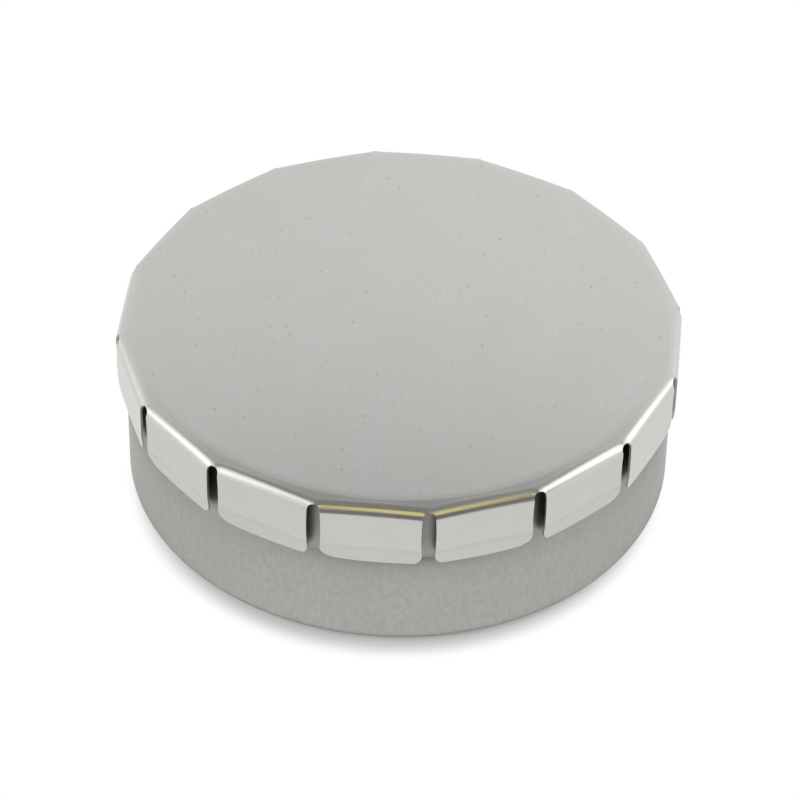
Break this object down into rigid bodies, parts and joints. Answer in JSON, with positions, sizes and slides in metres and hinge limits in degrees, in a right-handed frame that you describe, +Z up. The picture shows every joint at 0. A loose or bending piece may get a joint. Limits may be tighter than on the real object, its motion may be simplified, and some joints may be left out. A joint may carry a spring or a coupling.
{
  "type": "mint tin",
  "caption": "Round press-to-open metal mint tin: a drawn cup with a curled lip under a domed many-sided lid with folded tabs; pressing the centre frees the lid.",
  "frame": {"origin": "middle of the underside, on the table the tin stands on", "axes": "+Z is up through the middle of the lid, +X and +Y point square at two of the lid's flat sides, and tab 1 faces -Y"},
  "size_m": [0.0588, 0.0588, 0.0199],
  "materials": {
    "base_tinplate": "satin tinplate with fine vertical rolling lines",
    "lid_tinplate": "satin tinplate with a fine straight grain",
    "tab_tinplate": "bright satin tinplate, burnished at the bend"
  },
  "bodies": {
    "base": {"base": "base_tinplate"},
    "lid_rim": {"lid_rim": "lid_tinplate"},
    "lid_centre": {"lid_centre": "lid_tinplate"},
    "lid_tab_01": {"lid_tab_01": "tab_tinplate"},
    "lid_tab_02": {"lid_tab_02": "tab_tinplate"},
    "lid_tab_03": {"lid_tab_03": "tab_tinplate"},
    "lid_tab_04": {"lid_tab_04": "tab_tinplate"},
    "lid_tab_05": {"lid_tab_05": "tab_tinplate"},
    "lid_tab_06": {"lid_tab_06": "tab_tinplate"},
    "lid_tab_07": {"lid_tab_07": "tab_tinplate"},
    "lid_tab_08": {"lid_tab_08": "tab_tinplate"},
    "lid_tab_09": {"lid_tab_09": "tab_tinplate"},
    "lid_tab_10": {"lid_tab_10": "tab_tinplate"},
    "lid_tab_11": {"lid_tab_11": "tab_tinplate"},
    "lid_tab_12": {"lid_tab_12": "tab_tinplate"},
    "lid_tab_13": {"lid_tab_13": "tab_tinplate"},
    "lid_tab_14": {"lid_tab_14": "tab_tinplate"},
    "lid_tab_15": {"lid_tab_15": "tab_tinplate"},
    "lid_tab_16": {"lid_tab_16": "tab_tinplate"}
  },
  "joints": [
    {"name": "lid_lift", "type": "slide", "parent": "base", "child": "lid_rim", "axis": [0, 0, 1], "range_m": [0, 0.026]},
    {"name": "centre_press", "type": "slide", "parent": "lid_rim", "child": "lid_centre", "axis": [0, 0, -1], "range_m": [0, 0.0022]},
    {"name": "lid_tab_01_swing", "type": "hinge", "parent": "lid_rim", "child": "lid_tab_01", "pos_m": [0, -0.02855, 0.0179], "axis": [-1, 0, 0], "range_deg": [0, 6]},
    {"name": "lid_tab_02_swing", "type": "hinge", "parent": "lid_rim", "child": "lid_tab_02", "pos_m": [0.01093, -0.02638, 0.0179], "axis": [-0.9239, -0.3827, 0], "range_deg": [0, 6]},
    {"name": "lid_tab_03_swing", "type": "hinge", "parent": "lid_rim", "child": "lid_tab_03", "pos_m": [0.02019, -0.02019, 0.0179], "axis": [-0.7071, -0.7071, 0], "range_deg": [0, 6]},
    {"name": "lid_tab_04_swing", "type": "hinge", "parent": "lid_rim", "child": "lid_tab_04", "pos_m": [0.02638, -0.01093, 0.0179], "axis": [-0.3827, -0.9239, 0], "range_deg": [0, 6]},
    {"name": "lid_tab_05_swing", "type": "hinge", "parent": "lid_rim", "child": "lid_tab_05", "pos_m": [0.02855, 0, 0.0179], "axis": [0, -1, 0], "range_deg": [0, 6]},
    {"name": "lid_tab_06_swing", "type": "hinge", "parent": "lid_rim", "child": "lid_tab_06", "pos_m": [0.02638, 0.01093, 0.0179], "axis": [0.3827, -0.9239, 0], "range_deg": [0, 6]},
    {"name": "lid_tab_07_swing", "type": "hinge", "parent": "lid_rim", "child": "lid_tab_07", "pos_m": [0.02019, 0.02019, 0.0179], "axis": [0.7071, -0.7071, 0], "range_deg": [0, 6]},
    {"name": "lid_tab_08_swing", "type": "hinge", "parent": "lid_rim", "child": "lid_tab_08", "pos_m": [0.01093, 0.02638, 0.0179], "axis": [0.9239, -0.3827, 0], "range_deg": [0, 6]},
    {"name": "lid_tab_09_swing", "type": "hinge", "parent": "lid_rim", "child": "lid_tab_09", "pos_m": [0, 0.02855, 0.0179], "axis": [1, 0, 0], "range_deg": [0, 6]},
    {"name": "lid_tab_10_swing", "type": "hinge", "parent": "lid_rim", "child": "lid_tab_10", "pos_m": [-0.01093, 0.02638, 0.0179], "axis": [0.9239, 0.3827, 0], "range_deg": [0, 6]},
    {"name": "lid_tab_11_swing", "type": "hinge", "parent": "lid_rim", "child": "lid_tab_11", "pos_m": [-0.02019, 0.02019, 0.0179], "axis": [0.7071, 0.7071, 0], "range_deg": [0, 6]},
    {"name": "lid_tab_12_swing", "type": "hinge", "parent": "lid_rim", "child": "lid_tab_12", "pos_m": [-0.02638, 0.01093, 0.0179], "axis": [0.3827, 0.9239, 0], "range_deg": [0, 6]},
    {"name": "lid_tab_13_swing", "type": "hinge", "parent": "lid_rim", "child": "lid_tab_13", "pos_m": [-0.02855, 0, 0.0179], "axis": [0, 1, 0], "range_deg": [0, 6]},
    {"name": "lid_tab_14_swing", "type": "hinge", "parent": "lid_rim", "child": "lid_tab_14", "pos_m": [-0.02638, -0.01093, 0.0179], "axis": [-0.3827, 0.9239, 0], "range_deg": [0, 6]},
    {"name": "lid_tab_15_swing", "type": "hinge", "parent": "lid_rim", "child": "lid_tab_15", "pos_m": [-0.02019, -0.02019, 0.0179], "axis": [-0.7071, 0.7071, 0], "range_deg": [0, 6]},
    {"name": "lid_tab_16_swing", "type": "hinge", "parent": "lid_rim", "child": "lid_tab_16", "pos_m": [-0.01093, -0.02638, 0.0179], "axis": [-0.9239, 0.3827, 0], "range_deg": [0, 6]}
  ],
  "couplings": [
    {"joint": "lid_tab_01_swing", "follows": "centre_press", "rad_per_m": 47.59},
    {"joint": "lid_tab_02_swing", "follows": "centre_press", "rad_per_m": 47.59},
    {"joint": "lid_tab_03_swing", "follows": "centre_press", "rad_per_m": 47.59},
    {"joint": "lid_tab_04_swing", "follows": "centre_press", "rad_per_m": 47.59},
    {"joint": "lid_tab_05_swing", "follows": "centre_press", "rad_per_m": 47.59},
    {"joint": "lid_tab_06_swing", "follows": "centre_press", "rad_per_m": 47.59},
    {"joint": "lid_tab_07_swing", "follows": "centre_press", "rad_per_m": 47.59},
    {"joint": "lid_tab_08_swing", "follows": "centre_press", "rad_per_m": 47.59},
    {"joint": "lid_tab_09_swing", "follows": "centre_press", "rad_per_m": 47.59},
    {"joint": "lid_tab_10_swing", "follows": "centre_press", "rad_per_m": 47.59},
    {"joint": "lid_tab_11_swing", "follows": "centre_press", "rad_per_m": 47.59},
    {"joint": "lid_tab_12_swing", "follows": "centre_press", "rad_per_m": 47.59},
    {"joint": "lid_tab_13_swing", "follows": "centre_press", "rad_per_m": 47.59},
    {"joint": "lid_tab_14_swing", "follows": "centre_press", "rad_per_m": 47.59},
    {"joint": "lid_tab_15_swing", "follows": "centre_press", "rad_per_m": 47.59},
    {"joint": "lid_tab_16_swing", "follows": "centre_press", "rad_per_m": 47.59}
  ]
}
